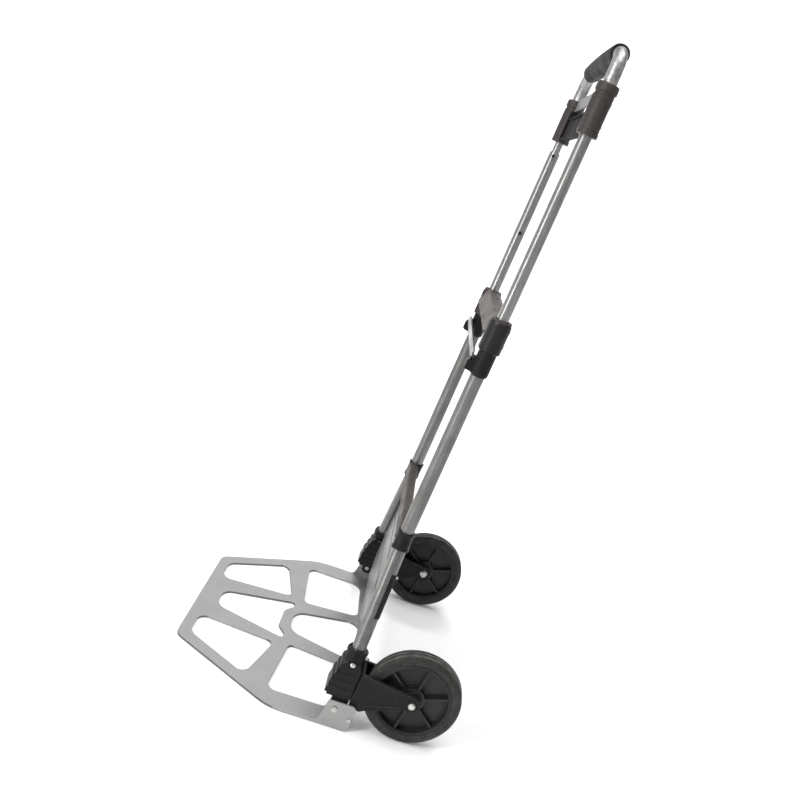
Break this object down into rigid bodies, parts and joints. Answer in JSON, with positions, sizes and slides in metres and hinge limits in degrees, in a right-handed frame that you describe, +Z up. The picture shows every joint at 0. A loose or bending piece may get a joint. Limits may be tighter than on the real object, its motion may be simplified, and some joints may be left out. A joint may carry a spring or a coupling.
{
  "type": "folding hand truck",
  "caption": "Folding two-wheel hand truck with a telescoping tube handle, swing-in wheels and a slotted fold-up toe plate.",
  "frame": {"origin": "on the floor under the middle of the footprint", "axes": "+X across the truck to its right wheel, -Y toward the toe plate's front edge, +Z up"},
  "size_m": [0.496, 0.497, 1.172],
  "materials": {
    "tyre_rubber": "matte rubber, fine wear",
    "rim_plastic": "moulded black plastic",
    "grip_foam": "soft foam",
    "brown_plastic": "moulded brown-grey plastic",
    "satin_aluminium": "drawn tube, satin",
    "slider_aluminium": "drawn tube, lightly scuffed",
    "polished_aluminium": "bright satin",
    "toe_aluminium": "cast, tumbled",
    "strip_steel": "pressed strip",
    "zinc_steel": "zinc plated",
    "strip_rubber": "thin wear strip",
    "nylon_black": "nylon",
    "black_plastic": "moulded black plastic"
  },
  "bodies": {
    "frame": {"rail_left": "satin_aluminium", "rail_right": "satin_aluminium", "lower_crossbar": "brown_plastic", "lower_collar_left": "black_plastic", "lower_collar_right": "black_plastic", "mid_crossbar": "brown_plastic", "housing_cover_left": "black_plastic", "housing_cover_right": "black_plastic", "guide_bushes": "nylon_black", "back_panel": "satin_aluminium", "base_bracket_left": "black_plastic", "base_bracket_right": "black_plastic", "bracket_rivets": "zinc_steel", "edge_strips": "strip_rubber", "toe_hinge_pins": "zinc_steel", "fork_hinge_pins": "zinc_steel", "frame_screws": "zinc_steel", "lock_springs": "zinc_steel"},
    "handle": {"slider_left": "slider_aluminium", "slider_right": "slider_aluminium", "slider_spigot": "slider_aluminium", "slider_glides": "nylon_black", "sleeve_left": "black_plastic", "sleeve_right": "black_plastic", "sleeve_ring_left": "black_plastic", "sleeve_ring_right": "black_plastic", "handle_web": "black_plastic", "handle_plate": "polished_aluminium", "handle_screws": "zinc_steel", "handle_loop": "polished_aluminium", "hand_grip": "grip_foam"},
    "snap_button": {"snap_button": "nylon_black"},
    "release": {"release_collar_left": "black_plastic", "release_collar_right": "black_plastic", "release_bar": "strip_steel", "release_rivets": "zinc_steel"},
    "lock_pin_left": {"lock_pin_left": "zinc_steel"},
    "lock_pin_right": {"lock_pin_right": "zinc_steel"},
    "toe": {"toe_plate": "toe_aluminium", "ear_rivets": "zinc_steel"},
    "fork_left": {"fork_left": "black_plastic", "axle_left": "zinc_steel", "axle_nut_left": "zinc_steel", "fork_rivets_left": "zinc_steel"},
    "wheel_left": {"rim_left": "rim_plastic", "tyre_left": "tyre_rubber", "bushes_left": "nylon_black"},
    "fork_right": {"fork_right": "black_plastic", "axle_right": "zinc_steel", "axle_nut_right": "zinc_steel", "fork_rivets_right": "zinc_steel"},
    "wheel_right": {"rim_right": "rim_plastic", "tyre_right": "tyre_rubber", "bushes_right": "nylon_black"}
  },
  "joints": [
    {"name": "telescope", "type": "slide", "parent": "frame", "child": "handle", "axis": [0, 0.0506, 0.9987], "range_m": [-0.3, 0]},
    {"name": "snap_press", "type": "slide", "parent": "handle", "child": "snap_button", "axis": [-0.9848, 0.1734, -0.0088], "range_m": [0, 0.0025], "stiffness_N_per_m": 250, "springref_m": -0.002},
    {"name": "release_slide", "type": "slide", "parent": "frame", "child": "release", "axis": [0, 0.0506, 0.9987], "range_m": [0, 0.006], "stiffness_N_per_m": 700, "springref_m": -0.004},
    {"name": "lock_pin_right_slide", "type": "slide", "parent": "frame", "child": "lock_pin_right", "axis": [-1, 0, 0], "range_m": [0, 0.004]},
    {"name": "lock_pin_left_slide", "type": "slide", "parent": "frame", "child": "lock_pin_left", "axis": [1, 0, 0], "range_m": [0, 0.004]},
    {"name": "toe_fold", "type": "hinge", "parent": "frame", "child": "toe", "pos_m": [0, 0.0485, 0.035], "axis": [1, 0, 0], "range_deg": [-92.9, 0]},
    {"name": "fork_swing_right", "type": "hinge", "parent": "frame", "child": "fork_right", "pos_m": [0.195, 0.06992, 0.07689], "axis": [0, 0.0506, 0.9987], "range_deg": [0, 90]},
    {"name": "fork_swing_left", "type": "hinge", "parent": "frame", "child": "fork_left", "pos_m": [-0.195, 0.06992, 0.07689], "axis": [0, 0.0506, 0.9987], "range_deg": [-90, 0]},
    {"name": "wheel_spin_right", "type": "hinge", "parent": "fork_right", "child": "wheel_right", "pos_m": [0.219, 0.166, 0.0825], "axis": [1, 0, 0], "continuous": true},
    {"name": "wheel_spin_left", "type": "hinge", "parent": "fork_left", "child": "wheel_left", "pos_m": [-0.219, 0.166, 0.0825], "axis": [1, 0, 0], "continuous": true}
  ],
  "couplings": [
    {"joint": "lock_pin_right_slide", "follows": "release_slide", "ratio": 0.6666},
    {"joint": "lock_pin_left_slide", "follows": "release_slide", "ratio": 0.6666},
    {"joint": "fork_swing_right", "follows": "toe_fold", "ratio": -0.968},
    {"joint": "fork_swing_left", "follows": "toe_fold", "ratio": 0.968}
  ]
}
